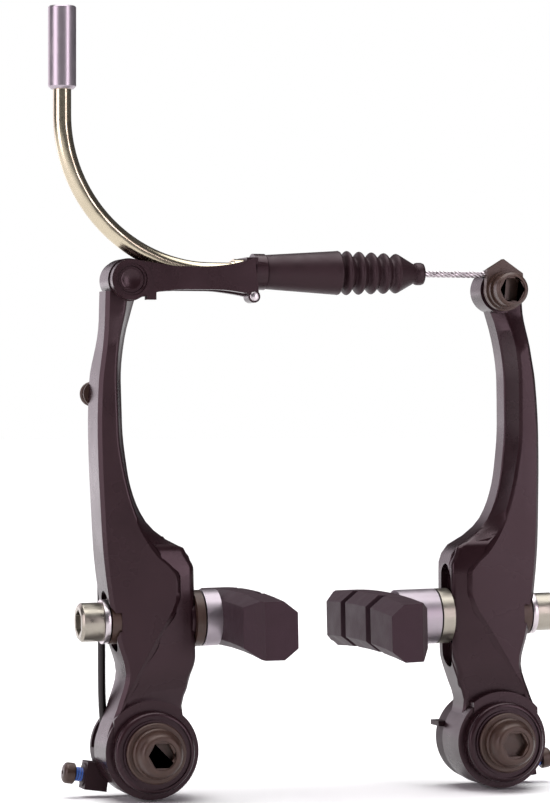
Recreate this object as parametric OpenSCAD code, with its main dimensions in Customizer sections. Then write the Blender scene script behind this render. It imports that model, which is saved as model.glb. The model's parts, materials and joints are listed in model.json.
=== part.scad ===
// Linear-pull rim brake: two arms on the frame's studs, joined above the wheel by a link, a guide pipe and a cable.
// X runs across the wheel, Y towards the frame and Z up. The origin lies midway between the two stud axes.

/* [Studs on the frame] */
// Distance between the two stud axes
stud_spacing = 80; // [74:0.5:90]
// Diameter of the stud that the bushing slides on
stud_d = 8; // [7:0.1:9]
// Length of bushing bore that is free for the stud
stud_reach = 13; // [11:0.5:16]

/* [Arms] */
// Mean height of the two heads above the stud
head_z = 100.6; // [94:0.2:112]
// How much higher the link's pin stands than the cable clamp
pin_up = 1.4; // [0:0.1:2]
// Distance of the head's pin outside the stud axis
head_out = 3.2; // [1:0.1:5]
// Radius of the arm's head
head_r = 5; // [4.4:0.1:6]
// How far both arms lean to the left, in degrees
arm_lean = 1.2; // [0:0.1:2]
// Height of the shoe's post above the stud
shoe_z = 28; // [26:0.5:31]
// Depth of the arm in front of its middle plane
arm_front = 5; // [4.6:0.1:6]
// Depth of the arm behind its middle plane
arm_back = 4.6; // [4.2:0.1:5.4]
// Distance of the shoe seat inside the stud axis
seat_in = 10.6; // [10:0.1:12]
// Radius of the arm's lobe around the stud
lobe_r = 10.3; // [9.8:0.1:12]
// Radius of the boss disc in front of the lobe
disc_r = 8.85; // [8:0.05:9.6]
// How far the boss disc stands in front of the middle plane
disc_front = 8.2; // [7.4:0.1:9]

/* [Pivots] */
// Outer radius of the bushing
bushing_r = 5.5; // [5.2:0.1:6.4]
// Thread diameter of the pivot bolt
bolt_d = 6; // [5:0.5:6.5]
// Radius of the pivot bolt's flange
bolt_flange_r = 5.5; // [5:0.1:6]
// Height of the pivot bolt's head
bolt_head_h = 4.7; // [3.5:0.1:5.5]
// Width across the flats of the pivot bolt's socket
bolt_hex = 5; // [4:0.5:5]
// Radius of the washer under the pivot bolt
pivot_washer_r = 6.6; // [6.2:0.1:7.2]

/* [Springs] */
// Diameter of the spring wire
wire_d = 1.7; // [1.4:0.1:1.9]
// Radius of the spring housing
housing_r = 9.9; // [9.7:0.1:11]
// Depth of the spring housing
housing_h = 5.2; // [4.8:0.1:6]
// Height of the stop that the spring's leg bears on
stop_z = 77; // [70:0.5:82]
// Radius of the stop's button
stop_r = 2.7; // [2.4:0.1:3.2]
// Thread diameter of the tension screw
screw_d = 3; // [2.5:0.1:3.4]
// Length of screw shank in view outside the lug
screw_out = 2.1; // [1.9:0.05:3]

/* [Brake shoes] */
// Length of the shoe
shoe_l = 50; // [44:1:60]
// Height of the shoe
shoe_h = 12.4; // [11.5:0.1:14]
// Thickness of the shoe
shoe_t = 10.2; // [9:0.1:12]
// Radius of the curve that the shoe follows along the rim
rim_r = 305; // [250:5:350]
// Width of the grooves in the shoe's face
groove_w = 3.2; // [2:0.1:4]
// Depth of the grooves in the shoe's face
groove_d = 4.2; // [2:0.1:5]
// Thread diameter of the shoe's post
post_d = 6; // [5:0.5:6.4]
// Radius of the large washers
cup_r = 6.1; // [5.8:0.1:6.8]
// Thickness of the stack between the left arm and its shoe
left_stack = 5.6; // [5:0.1:8]
// Thickness of the stack between the right arm and its shoe
right_stack = 12; // [9:0.1:13]
// Radius of the shoe's cap nut
nut_r = 4.2; // [3.9:0.1:5]

/* [Link and guide pipe] */
// Distance from the link's pin to the end of its nose
link_l = 31; // [28:0.5:36]
// Radius of the link's round end
link_r = 4.35; // [4:0.05:5]
// Thickness of the link's two cheeks
cheek_t = 2; // [1.5:0.1:2.6]
// Gap between the cheeks
cheek_gap = 7; // [6.4:0.1:8]
// Diameter of the guide pipe
pipe_d = 3.9; // [3.6:0.1:4.4]
// Wall of the guide pipe
pipe_wall = 0.45; // [0.35:0.05:0.6]
// Bend radius of the guide pipe
bend_r = 33.1; // [29:0.1:37]
// Outer diameter of the pipe's ferrule
ferrule_d = 6; // [5.8:0.1:7]
// Length of the ferrule
ferrule_l = 17.8; // [14:0.2:22]
// Diameter of the socket for the cable's housing
housing_d = 5.1; // [4.9:0.1:5.2]
// Depth of the socket for the cable's housing
housing_depth = 10; // [8:0.5:12]

/* [Boot and cable] */
// Length of the boot's smooth sleeve
sleeve_l = 17.2; // [12:0.1:19]
// Number of bellows rings
rings = 4; // [3:1:6]
// Distance between the bellows rings
ring_pitch = 2.85; // [2.4:0.05:3.2]
// Outer radius of the bellows rings
ring_r = 4.85; // [4.4:0.05:5.4]
// Radius between the bellows rings
valley_r = 3.4; // [3.2:0.05:3.8]
// Length of the boot's tip
tip_l = 7.8; // [6:0.2:9]
// Wall of the boot
boot_wall = 0.8; // [0.6:0.05:1]
// Diameter of the inner cable
cable_d = 1.5; // [1.2:0.1:1.6]

/* [Cable clamp] */
// Radius of the clamp bolt's head
clamp_head_r = 3.75; // [3.4:0.05:4.2]
// Height of the clamp bolt's head
clamp_head_h = 3.15; // [2.9:0.05:4]
// Thread diameter of the clamp bolt
clamp_d = 5; // [4.5:0.1:5.2]
// Thickness of the clamp plate
clamp_t = 1.6; // [1.2:0.1:2]

/* [Fits] */
// Radial clearance of a running fit
run = 0.05; // [0.03:0.01:0.08]
// Clearance between faces that pass each other
gap = 0.3; // [0.2:0.05:0.4]

/* [Hidden] */
$fn = 48;
tiny = 0.01;
sides = ["left", "right"];
black = [0.13, 0.1, 0.12];
rubber = [0.25, 0.2, 0.24];
steel = [0.75, 0.73, 0.72];
dark_steel = [0.22, 0.19, 0.18];
zinc = [0.72, 0.68, 0.55];

// Heights of a point of an arm after the lean
function lean_x(x, z) = x * cos(arm_lean) - z * sin(arm_lean);
function lean_z(x, z) = z * cos(arm_lean) + x * sin(arm_lean);
head_at = [head_z + pin_up / 2, head_z - pin_up / 2];
pin_x = -stud_spacing / 2 + lean_x(-head_out, head_at[0]);
pin_z = lean_z(-head_out, head_at[0]);
anchor_x = stud_spacing / 2 + lean_x(head_out, head_at[1]);
anchor_rise = clamp_d / 2 + cable_d / 2 + 0.15;
cable_z = lean_z(head_out, head_at[1]) + anchor_rise;
cable_rise = cable_z - pin_z;
cable_y = -2.5;

// Planes across the pivot, from the front to the back
bushing_front = -(disc_front + gap);
washer_t = 0.8;
bolt_seat = bushing_front - washer_t;
bore_step = -0.6;
bushing_back = bore_step + stud_reach;
boss_back = 5.2;
housing_front = boss_back + gap;
housing_back = housing_front + housing_h;
thread_r = bolt_d / 2;

// A smooth curve through rows of [height, value]
function row(z, t, i = 0) = i >= len(t) - 2 || z < t[i + 1][0] ? i : row(z, t, i + 1);
function slope(t, i) = (t[i + 1][1] - t[i][1]) / (t[i + 1][0] - t[i][0]);
function rise(t, i) = i == 0 ? slope(t, 0) : i == len(t) - 1 ? slope(t, i - 1)
    : let (p = slope(t, i - 1), q = slope(t, i))
        p * q <= 0 ? 0 : sign(p) * min(abs(p + q) / 2, 2 * min(abs(p), abs(q)));
function curve(z, t) = let (
        i = row(z, t), h = t[i + 1][0] - t[i][0], s = (z - t[i][0]) / h,
        m = rise(t, i) * h, n = rise(t, i + 1) * h
    )
    (2 * pow(s, 3) - 3 * s * s + 1) * t[i][1] + (pow(s, 3) - 2 * s * s + s) * m
    + (3 * s * s - 2 * pow(s, 3)) * t[i + 1][1] + (pow(s, 3) - s * s) * n;

// A closed skin over rings of the same number of points
module skin(rings3) {
    n = len(rings3[0]);
    m = len(rings3);
    polyhedron(
        points = [for (r = rings3) each r],
        faces = concat(
            [[for (k = [0:n - 1]) k]],
            [for (i = [0:m - 2], k = [0:n - 1]) each [
                [(i + 1) * n + k, i * n + (k + 1) % n, i * n + k],
                [(i + 1) * n + k, (i + 1) * n + (k + 1) % n, i * n + (k + 1) % n]
            ]],
            [[for (k = [n - 1:-1:0]) (m - 1) * n + k]]
        ),
        convexity = 6
    );
}

// A round wire along a path of points
function sum3(v) = [for (k = [0:2]) v[k]];
function unit(v) = v / norm(v);
module wire(path, r, sides_n = 8) {
    n = len(path);
    skin([for (i = [0:n - 1])
        let (
            d = unit(path[min(i + 1, n - 1)] - path[max(i - 1, 0)]),
            a = unit(cross(d, abs(d[1]) > 0.9 ? [1, 0, 0] : [0, 1, 0])),
            b = cross(d, a)
        )
        [for (k = [0:sides_n - 1]) path[i] + r * (cos(360 * k / sides_n) * a + sin(360 * k / sides_n) * b)]
    ]);
}

// A point of a smooth path through hand-set points
function along(p, t) = let (
        i = min(floor(t), len(p) - 2), s = t - i,
        a = p[max(i - 1, 0)], b = p[i], c = p[i + 1], d = p[min(i + 2, len(p) - 1)]
    )
    0.5 * (2 * b + (c - a) * s + (2 * a - 5 * b + 4 * c - d) * s * s + (3 * b - a - 3 * c + d) * pow(s, 3));

// Turned shapes about an axis that runs along Y or along X
module along_y() { rotate([-90, 0, 0]) children(); }
module along_x() { rotate([0, 90, 0]) children(); }
module rod_y(r, y0, y1, sides_n = 48) {
    translate([0, y0, 0]) along_y() cylinder(r = r, h = y1 - y0, $fn = sides_n);
}
module rod_x(r, x0, x1, sides_n = 48) {
    translate([x0, 0, 0]) along_x() cylinder(r = r, h = x1 - x0, $fn = sides_n);
}

// Places a left-hand shape on its stud, on either side, upright or leaning with the arm
module at_stud(side) {
    translate([side * stud_spacing / 2, 0, 0])
        mirror([side > 0 ? 1 : 0, 0, 0]) children();
}
module on_arm(side) {
    translate([side * stud_spacing / 2, 0, 0]) rotate([0, -arm_lean, 0])
        mirror([side > 0 ? 1 : 0, 0, 0]) children();
}

// Arm outline as rows of [height, distance outside the stud axis]
waist = head_z - shoe_z;
outer_edge = [
    [-4, lobe_r - 1.4], [2, lobe_r - 0.4], [9.6, 7.3], [shoe_z - 11, 5.2], [shoe_z - 4.5, 6.8], [shoe_z + 3, 8.3],
    [shoe_z + 0.18 * waist, 9.5], [shoe_z + 0.34 * waist, 10.1], [shoe_z + 0.54 * waist, 10.4],
    [shoe_z + 0.71 * waist, 9.9], [shoe_z + 0.83 * waist, 8.7], [head_z - 4, head_out + 5.1], [head_z, head_out + 4.9]
];
inner_edge = [
    [-4, -lobe_r + 1.4], [4, -8.6], [9, -7.6], [shoe_z - 14, 1.5 - seat_in], [shoe_z - 8, -seat_in],
    [shoe_z + 5, -seat_in], [shoe_z + 11, 0.1 - seat_in], [shoe_z + 15, -8.9], [shoe_z + 17.5, -4.7],
    [shoe_z + 20, -1.7], [shoe_z + 0.32 * waist, 0.4], [shoe_z + 0.39 * waist, 2.2], [shoe_z + 0.47 * waist, 3.2],
    [shoe_z + 0.58 * waist, 3.9], [shoe_z + 0.71 * waist, 4], [shoe_z + 0.83 * waist, 3.1], [head_z - 5, head_out - 2],
    [head_z, head_out - 3.8]
];
panel_edge = [
    [-4, 6], [8, 5.6], [11.2, 5.1], [15.3, 2.7], [shoe_z - 4.4, -2], [shoe_z + 2, -5.9], [shoe_z + 5, -6.9],
    [shoe_z + 9.5, -6.9], [shoe_z + 14, -2.7], [shoe_z + 19, 0.5], [shoe_z + 0.34 * waist, 2.8],
    [shoe_z + 0.44 * waist, 4.6], [shoe_z + 0.55 * waist, 5.7], [shoe_z + 0.71 * waist, 5.9],
    [shoe_z + 0.83 * waist, 5.2], [head_z - 4, head_out + 0.4], [head_z, head_out + 0.2]
];
flank_front = [
    [-4, -2], [shoe_z - 14, -2.4], [shoe_z + 12, -2.4], [shoe_z + 0.32 * waist, -1],
    [shoe_z + 0.44 * waist, -0.5], [head_z, -0.5]
];
lip = 0.8;
step = 0.5;

// Front and back of each arm's head: the left one fits between the link's cheeks, the right one carries the clamp
head_front = [cable_y - cheek_gap / 2 + gap, cable_y + 0.5];
head_back = [cable_y + cheek_gap / 2 - gap, arm_back];
function face_front(z, k) = curve(z, [[-4, -arm_front], [head_z - 24, -arm_front], [head_z - 14, -arm_front],
    [head_z - 5, head_front[k]], [head_z, head_front[k]]]);
function face_back(z, k) = curve(z, [[-4, boss_back - 0.4], [shoe_z - 12, arm_back + 0.4], [shoe_z + 12, arm_back + 0.4],
    [shoe_z + 22, arm_back], [head_z - 20, arm_back], [head_z - 7, head_back[k]], [head_z, head_back[k]]]);
function arm_section(z, k) = let (
        o = curve(z, outer_edge), i = curve(z, inner_edge), p = curve(z, panel_edge),
        f = face_front(z, k), b = face_back(z, k), s = min(max(curve(z, flank_front), f + 2), b - 1.5)
    )
    [
        [-o, b, z], [-o, f + lip, z], [-o + lip, f, z], [-p - lip, f, z], [-p, f + step, z],
        [-i - step, s, z], [-i, s + step, z], [-i, b, z]
    ];
stations = [for (z = [-4:1.9:head_z - 2.4]) z, head_z - 1.6];

module arm_body(k) {
    difference() {
        union() {
            skin([for (z = stations) arm_section(z, k)]);
            // Lobe, boss disc and the forged collars around it
            rod_y(lobe_r, -arm_front - 0.2, boss_back);
            translate([0, -disc_front, 0]) along_y() rotate_extrude($fn = 64) disc_profile();
            intersection() {
                rod_y(disc_r + 2.2, -arm_front - 0.6, 0);
                translate([-8.4, -arm_front - 1, 2]) cube([15, arm_front, 12]);
            }
            // Head
            translate([-head_out, 0, head_at[k]]) {
                rod_y(head_r - (k == 0 ? 0.4 : 0), head_front[k], head_back[k]);
                if (k == 1) rod_y(head_r - 0.7, head_front[k], head_back[k] + 0.6);
            }
            // Raised seat for the shoe's washers
            translate([seat_in - 0.8, 0, shoe_z]) rod_x(arm_back, 0, 0.8);
        }
        rod_y(bushing_r + run, -disc_front - 1, boss_back + 1);
        // Slot for the shoe's post, and the flat that its outer washers bear on
        hull_slot(-seat_in - 3, seat_in + 3);
        translate([-outer_flat - 8, 0, shoe_z]) rod_x(outer_r + 0.5, 0, 8);
        // Hole for the spring stop
        translate([-stop_out, 0, stop_z]) rod_y(stop_neck + run, arm_back - 3.2, arm_back + 1);
        translate([-head_out, 0, head_at[k]])
            rod_y((k == 0 ? pin_r : clamp_d / 2) + run, head_front[k] - 1, head_back[k] + 2);
        // Groove that the cable lies in
        if (k == 1) translate([-head_out, cable_y, head_at[k] + anchor_rise]) rod_x(cable_d / 2 + run, -9, 9, 24);
    }
}
outer_flat = 6;
outer_r = nut_r + 0.7;
module disc_profile() {
    // Turned about the stud axis, from the disc's face back into the lobe
    e = 0.9;
    difference() {
        union() {
            square([disc_r - e, disc_front - arm_front]);
            translate([0, e]) square([disc_r, disc_front - arm_front - e + 0.5]);
            translate([disc_r - e, e]) circle(r = e, $fn = 32);
        }
        translate([pivot_washer_r + 0.5, -0.4]) square([0.8, 0.9]);
    }
}
module hull_slot(x0, x1) {
    half = 3.4;
    for (s = [-1, 1]) translate([0, 0, shoe_z + s * half]) rod_x(post_d / 2 + 0.2, x0, x1, 32);
    translate([x0, -post_d / 2 - 0.2, shoe_z - half]) cube([x1 - x0, post_d + 0.4, 2 * half]);
}

// Pivot pieces
module pivot_bushing() {
    difference() {
        union() {
            rod_y(bushing_r, bushing_front, bushing_back);
            rod_y(bushing_r + 0.8, housing_back + tiny, bushing_back);
        }
        rod_y(stud_d / 2 + run, bore_step, bushing_back + 1);
        rod_y(thread_r + 0.3, bushing_front - 1, bore_step + 1);
    }
}
module pivot_washer() {
    difference() {
        translate([0, bolt_seat, 0]) along_y() rotate_extrude($fn = 64) difference() {
            square([pivot_washer_r, washer_t]);
            translate([pivot_washer_r, 0]) rotate(45) square(0.4, center = true);
        }
        rod_y(thread_r + 0.2, bolt_seat - 1, bushing_front + 1);
    }
}
module pivot_bolt() {
    tip = bore_step - 1.1;
    difference() {
        union() {
            rod_y(thread_r - 0.4, tip, tip + 0.9);
            rod_y(thread_r, bolt_seat - 1, tip + tiny);
            translate([0, bolt_seat - bolt_head_h, 0]) along_y() rotate_extrude($fn = 64) bolt_profile();
        }
        rod_y(bolt_hex / 2 / cos(30), bolt_seat - bolt_head_h - 1, bolt_seat - bolt_head_h + 2.3, 6);
        rod_y(bolt_hex / 2 + 0.6, bolt_seat - bolt_head_h - 1, bolt_seat - bolt_head_h + 0.35);
    }
}
module bolt_profile() {
    // Domed head with a thin flange
    polygon(concat(
        [[0, bolt_head_h], [bolt_flange_r, bolt_head_h], [bolt_flange_r, bolt_head_h - 0.9]],
        [for (a = [0:10:80]) [
            3.65 + (bolt_flange_r - 0.35 - 3.65) * cos(a),
            (bolt_head_h - 1.1) * (1 - sin(a))
        ]],
        [[3.65, 0], [0, 0]]
    ));
}

// Spring, its housing and the screw that sets it
coil_r = bushing_r + 1.5;
coil_y = housing_front + wire_d / 2 + 0.1;
coil_depth = housing_h - 1.5 - wire_d;
coil_turns = 1.1;
screw_tilt = 8;
screw_root = [-8.6, 0, -6.3];
lug_l = 3.4;
module screw_frame() {
    translate([screw_root[0], housing_front + housing_h / 2, screw_root[2]]) rotate([0, 180 + screw_tilt, 0]) children();
}
module spring_housing() {
    difference() {
        union() {
            rod_y(housing_r, housing_front, housing_back);
            screw_frame() {
                translate([-1.6, -housing_h / 2, -3]) cube([lug_l + 1.6, housing_h, 6]);
                rod_x(screw_d / 2 + 1, lug_l - 0.5, lug_l + 0.3);
            }
            // Corner that stands out where the cup is cut for the spring's leg
            translate([5.6, housing_front, 2.7]) cube([5.5, housing_h, 1.1]);
        }
        rod_y(bushing_r + run, housing_front - 1, housing_back + 1);
        // Ring-shaped room for the coil
        difference() {
            rod_y(housing_r - 1, housing_front - 1, housing_back - 1.3);
            rod_y(bushing_r + 0.5, housing_front - 2, housing_back);
        }
        // Way out for the leg, on the outer side
        translate([-housing_r - 1, housing_front - 1, 0]) cube([housing_r - bushing_r + 1, housing_h - 0.3, housing_r + 1]);
        screw_frame() rod_x(screw_d / 2 + run, -3, lug_l + 1);
        translate([0, 0, peg_z]) rod_y(peg_r + 0.3, housing_back - 1.4, housing_back + 1);
    }
}
peg_z = 7.8;
peg_r = 1.25;
module spring_pin() {
    translate([0, 0, peg_z]) {
        rod_y(peg_r + 0.25, housing_back - 1.2, housing_back);
        rod_y(peg_r, housing_back - tiny, housing_back + 3.6);
        rod_y(peg_r - 0.35, housing_back + 3.5, housing_back + 4);
    }
}
stop_out = 8.5;
stop_neck = 1.1;
stop_collar = 0.6;
leg_y = arm_back + stop_collar + wire_d / 2 + 0.25;
leg_top = stop_out - stop_neck - wire_d / 2 - 0.05;
// Leg as rows of [distance outside the stud axis, depth, height]; it leans with its arm
leg = [
    [coil_r, coil_y, 0], [coil_r + 0.7, coil_y, 5], [coil_r + 1, coil_y, 12], [coil_r + 0.8, leg_y + 0.1, shoe_z - 2],
    [coil_r + 0.6, leg_y, shoe_z + 16], [leg_top + 0.2, leg_y, stop_z - 12], [leg_top, leg_y, stop_z],
    [leg_top - 0.1, leg_y, stop_z + 4.5]
];
module spring(side) {
    slope = -side * sin(arm_lean);
    wire(concat(
        [for (i = [0:22]) let (t = i / 22, a = 180 + 360 * coil_turns * (t - 1))
            if (i < 22) [coil_r * cos(a), coil_y + coil_depth * (1 - t), -coil_r * sin(a)]],
        [for (t = [0:0.25:len(leg) - 1]) let (p = along(leg, t)) [-p[0] - slope * p[2], p[1], p[2]]]
    ), wire_d / 2);
}
module spring_stop() {
    translate([-stop_out, 0, stop_z]) difference() {
        union() {
            rod_y(stop_neck, arm_back - 3, leg_y + 1.2);
            rod_y(stop_r, arm_back + tiny, arm_back + stop_collar);
            translate([0, leg_y + wire_d / 2 + 0.25, 0]) along_y() rotate_extrude($fn = 40) polygon([
                [0, 0], [stop_r - 0.3, 0], [stop_r, 0.3], [stop_r, 0.9], [stop_r - 0.7, 1.5], [0, 1.5]
            ]);
        }
        rod_y(0.9, leg_y + wire_d / 2 + 0.9, leg_y + 4);
    }
}
module tension_screw() {
    head_x = lug_l + screw_out;
    screw_frame() difference() {
        union() {
            rod_x(screw_d / 2, 0.4, head_x + 0.3, 32);
            translate([head_x, 0, 0]) along_x() rotate_extrude($fn = 40) polygon([
                [0, 0], [2.3, 0], [2.3, 1.9], [1.7, 2.6], [0, 2.6]
            ]);
        }
        for (a = [0, 90]) rotate([a, 0, 0]) translate([head_x + 1.5, -2, -0.35]) cube([2, 4, 0.7]);
    }
}

// Shoe: an eight-sided section swept along the rim's curve, with two grooves across its face
shoe_back = [for (s = [left_stack, right_stack]) seat_in + s];
module shoe(k) {
    front_end = -0.54 * shoe_l;
    back_end = 0.46 * shoe_l;
    x0 = shoe_back[k];
    arc_z = shoe_z - rim_r - 0.3;
    h = shoe_h / 2;
    difference() {
        translate([0, 0, arc_z]) rotate([0, 90, 0]) rotate([0, 0, 180])
            rotate_extrude(angle = 2 * half_arc, start = -half_arc, $fn = 240)
                shoe_section(x0, h);
        // Slanted ends
        translate([x0, front_end, shoe_z]) rotate([0, 0, -4]) translate([-20, -20, -20]) cube([50, 20, 40]);
        translate([x0, back_end, shoe_z]) rotate([0, 0, 12]) translate([-20, 0, -20]) cube([50, 20, 40]);
        translate([x0 + shoe_t, back_end - 5, shoe_z]) rotate([0, 0, -50]) translate([-20, 0, -20]) cube([50, 20, 40]);
        for (s = [-1, 1]) translate([x0, back_end - 4, shoe_z + s * h]) rotate([-s * 32, 0, 0])
            translate([-2, 0, s > 0 ? 0 : -20]) cube([20, 20, 20]);
        translate([x0 - 0.2, front_end + 6, shoe_z]) rotate([0, 0, 28]) translate([-20, -40, -20]) cube([20, 60, 40]);
        translate([x0 - 0.2, back_end - 8, shoe_z]) rotate([0, 0, -18]) translate([-20, -20, -20]) cube([20, 60, 40]);
        // Grooves
        for (y = [front_end + 0.31 * shoe_l, front_end + 0.66 * shoe_l])
            translate([x0 + shoe_t - groove_d, y - groove_w / 2, shoe_z - 20]) cube([groove_d + 5, groove_w, 40]);
        translate([0, 0, shoe_z]) rod_x(post_d / 2 + 0.02, x0 - 1, x0 + 5.02);
        translate([0, 0, shoe_z]) rod_x(4.32, x0 + 2.48, x0 + 5.02);
    }
}
half_arc = 7;
module shoe_section(x0, h) {
    // The rotate_extrude turns this profile's X into the radius and its Y into the thickness
    polygon([
        [rim_r - h + 1.9, x0], [rim_r - h, x0 + 2.6], [rim_r - h, x0 + shoe_t - 3], [rim_r - h + 2.4, x0 + shoe_t],
        [rim_r + h - 2.4, x0 + shoe_t], [rim_r + h, x0 + shoe_t - 3], [rim_r + h, x0 + 2.6], [rim_r + h - 1.9, x0]
    ]);
}

// Post, washers and nut of a shoe, from its plate in the rubber to the cap nut outside the arm
cup_t = 2;
convex_t = 2.6;
outer_cup_x = -outer_flat - cup_t;
outer_convex_x = outer_cup_x - 1.5;
ball_r = 7;
module shoe_stud(k) {
    translate([0, 0, shoe_z]) {
        rod_x(post_d / 2, outer_convex_x - 3.6, shoe_back[k] + 4.99);
        rod_x(4.3, shoe_back[k] + 2.5, shoe_back[k] + 4.99);
    }
}
// Cup washer: flat towards the arm, hollow towards the shoe
module cup_washer(r, t, ball_at) {
    difference() {
        rod_x(r, 0, t);
        translate([ball_at, 0, 0]) sphere(r = ball_r, $fn = 64);
        rod_x(post_d / 2 + 0.9, -1, t + 1);
    }
}
// Convex washer: a slice of the ball that sits in the cup
module convex_washer(from, to, ball_at) {
    difference() {
        intersection() {
            rod_x(cup_r, from, to);
            translate([ball_at, 0, 0]) sphere(r = ball_r - run, $fn = 64);
        }
        rod_x(post_d / 2 + run, from - 1, to + 1);
    }
}
dish = 1.2;
module inner_cup_washer(k) {
    t = k == 0 ? 1.8 : 2.7;
    translate([seat_in, 0, shoe_z]) cup_washer(cup_r, t, t - dish + ball_r);
}
module inner_convex_washer(k) {
    t = k == 0 ? 1.8 : 2.7;
    stack = k == 0 ? left_stack : right_stack;
    ball_at = t - dish + ball_r;
    translate([seat_in, 0, shoe_z]) difference() {
        union() {
            intersection() {
                rod_x(cup_r, t - dish, min(stack, ball_at) - tiny);
                translate([ball_at, 0, 0]) sphere(r = ball_r - run, $fn = 64);
            }
            rod_x(cup_r, t + 0.35, stack);
        }
        rod_x(post_d / 2 + run, 0, stack + 1);
    }
}
module outer_cup_washer() {
    translate([-outer_flat, 0, shoe_z]) mirror([1, 0, 0]) cup_washer(outer_r, cup_t, cup_t - dish + ball_r);
}
module outer_convex_washer() {
    translate([-outer_flat, 0, shoe_z]) mirror([1, 0, 0]) difference() {
        union() {
            intersection() {
                rod_x(outer_r - 0.1, cup_t - dish, cup_t + 1);
                translate([cup_t - dish + ball_r, 0, 0]) sphere(r = ball_r - run, $fn = 64);
            }
            rod_x(outer_r - 0.1, cup_t + 0.35, cup_t + 1.5);
        }
        rod_x(post_d / 2 + run, 0, cup_t + 3);
    }
}
module shoe_nut() {
    x0 = outer_convex_x - tiny;
    nut_l = 5;
    translate([x0, 0, shoe_z]) mirror([1, 0, 0]) difference() {
        along_x() rotate_extrude($fn = 48) polygon([
            [0, 0], [nut_r, 0], [nut_r, nut_l - 0.6], [nut_r - 0.6, nut_l], [0, nut_l]
        ]);
        rod_x(post_d / 2 + run, -1, 3.65);
        rod_x(2.5 / cos(30), 2, nut_l + 1, 6);
    }
}

// Link: two waisted cheeks joined at the nose, which has the seat for the guide pipe
pin_r = 2.2;
nose_l = 2.6;
nose_bore = 2.35;
function link_top(x) = curve(x, [[2, 4.1], [8, 3.2], [11, 2.9], [17, 3], [23, 3.7], [link_l - 2, 5.2], [link_l, 5.4]]);
function link_bottom(x) = curve(x, [[2, -4], [6, -2.6], [13, -2], [19, -2], [25, -2.6], [link_l - 2, -3.3], [link_l, -3.4]]);
module cheek_outline() {
    circle(r = link_r, $fn = 48);
    polygon(concat(
        [for (x = [2:1.5:link_l - nose_l]) [x, link_top(x)]],
        [for (x = [link_l - nose_l:-1.5:2]) [x, link_bottom(x)]]
    ));
}
module at_link() { translate([pin_x, cable_y, pin_z]) children(); }
module cheek(y0) {
    translate([0, y0 + cheek_t, 0]) rotate([90, 0, 0]) linear_extrude(cheek_t) cheek_outline();
}
module link() {
    at_link() difference() {
        union() {
            cheek(-cheek_gap / 2 - cheek_t);
            cheek(cheek_gap / 2);
            // Raised rim around the pin
            difference() {
                rod_y(link_r, -cheek_gap / 2 - cheek_t - 0.4, -cheek_gap / 2);
                rod_y(link_r - 0.9, -cheek_gap / 2 - cheek_t - 1, -cheek_gap / 2 - cheek_t);
            }
            // Nose: a collar around the cable and the wall between the cheeks
            translate([0, 0, cable_rise]) {
                rod_x(link_r - 0.4, link_l - nose_l, link_l);
                translate([link_l - nose_l - 2.2, -cheek_gap / 2 - tiny, -4]) cube([2.6, cheek_gap + 2 * tiny, 7]);
            }
            // Tab that stops the arm, and the bump under the nose
            translate([3.4, -cheek_gap / 2 - cheek_t, -4.3]) cube([2.1, cheek_t, 2.6]);
            translate([link_l - 3.7, -cheek_gap / 2 - cheek_t + 1.2, -3.4]) rod_y(1.35, -1.2, 2.6, 32);
        }
        rod_y(pin_r + 0.02, -cheek_gap, cheek_gap);
        translate([0, -cheek_gap / 2 - cheek_t - 1, 0]) rod_y(2.9, 0, 2, 40);
        translate([0, 0, cable_rise]) {
            rod_x(nose_bore, link_l - 9, link_l + 1);
            // Keyhole that lets the cable slip out to the back
            translate([link_l - 9, 0, -1]) cube([10, 8, 2]);
        }
    }
}
module link_pin() {
    front = -cheek_gap / 2 - cheek_t;
    at_link() difference() {
        union() {
            rod_y(pin_r, front + tiny, cheek_gap / 2 + cheek_t + 0.2);
            rod_y(2.8, front + 0.3, front + 1);
            rod_y(pin_r + 0.7, cheek_gap / 2 + cheek_t + 0.02, cheek_gap / 2 + cheek_t + 0.6);
        }
        translate([0, front - 5.2, 0]) sphere(r = 5.9, $fn = 64);
    }
}

// Guide pipe: straight through the link, a quarter bend and straight up into the ferrule
pipe_r = pipe_d / 2;
nose_x = pin_x + link_l - nose_l;
bend_out = 19.2;
bend_x = pin_x + bend_out;
up_x = bend_x - bend_r;
up_z = cable_z + bend_r;
upright_l = 5.4;
ferrule_z = up_z + upright_l;
module pipe_route(r) {
    translate([0, cable_y, cable_z]) rod_x(r, bend_x, nose_x - 3, 32);
    translate([bend_x, cable_y, up_z]) rotate([90, 0, 0]) rotate_extrude(angle = 90, start = 180, $fn = 96)
        translate([bend_r, 0]) circle(r = r, $fn = 32);
    translate([up_x, cable_y, up_z]) cylinder(r = r, h = ferrule_z + 5 - up_z, $fn = 32);
}
module guide_pipe() {
    difference() {
        pipe_route(pipe_r);
        pipe_route(pipe_r - pipe_wall);
        translate([0, cable_y, cable_z]) rod_x(pipe_r - pipe_wall, nose_x - 4, nose_x - 2, 32);
        translate([up_x, cable_y, ferrule_z]) cylinder(r = pipe_r - pipe_wall, h = 6, $fn = 32);
    }
}
liner_r = pipe_r - pipe_wall - 0.02;
liner_bore = cable_d / 2 + 0.15;
module pipe_liner() {
    difference() {
        pipe_route(liner_r);
        pipe_route(liner_bore);
        translate([0, cable_y, cable_z]) rod_x(liner_bore, nose_x - 4, nose_x - 2, 32);
        translate([up_x, cable_y, ferrule_z]) cylinder(r = liner_bore, h = 6, $fn = 32);
    }
}
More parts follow.
